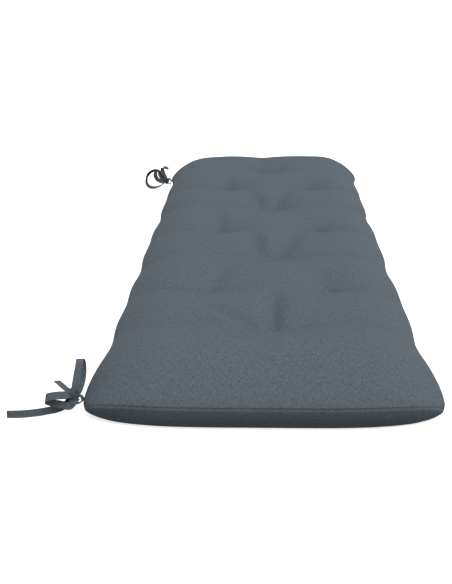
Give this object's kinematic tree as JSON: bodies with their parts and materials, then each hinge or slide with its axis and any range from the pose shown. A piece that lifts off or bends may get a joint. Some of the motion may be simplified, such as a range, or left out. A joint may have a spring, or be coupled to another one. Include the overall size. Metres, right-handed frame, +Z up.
{
  "type": "bench cushion",
  "caption": "Long, flat tufted bench cushion with knife-edge seams, pulled-in sides and a cloth tie bow at both corners of one long side.",
  "frame": {"origin": "on the flat underside, below the middle of the cushion", "axes": "+Z up from the underside through the top panel, +Y along the cushion's length, +X across it, away from the long side that has the ties"},
  "size_m": [0.6299, 1.2002, 0.09],
  "materials": {
    "cushion_cloth": "slate grey plain weave, matt",
    "tie_near_cloth": "slate grey plain weave tape, matt",
    "tie_far_cloth": "slate grey plain weave tape, matt"
  },
  "bodies": {
    "root": {"cushion": "cushion_cloth", "tie_near": "tie_near_cloth", "tie_far": "tie_far_cloth"}
  },
  "joints": []
}
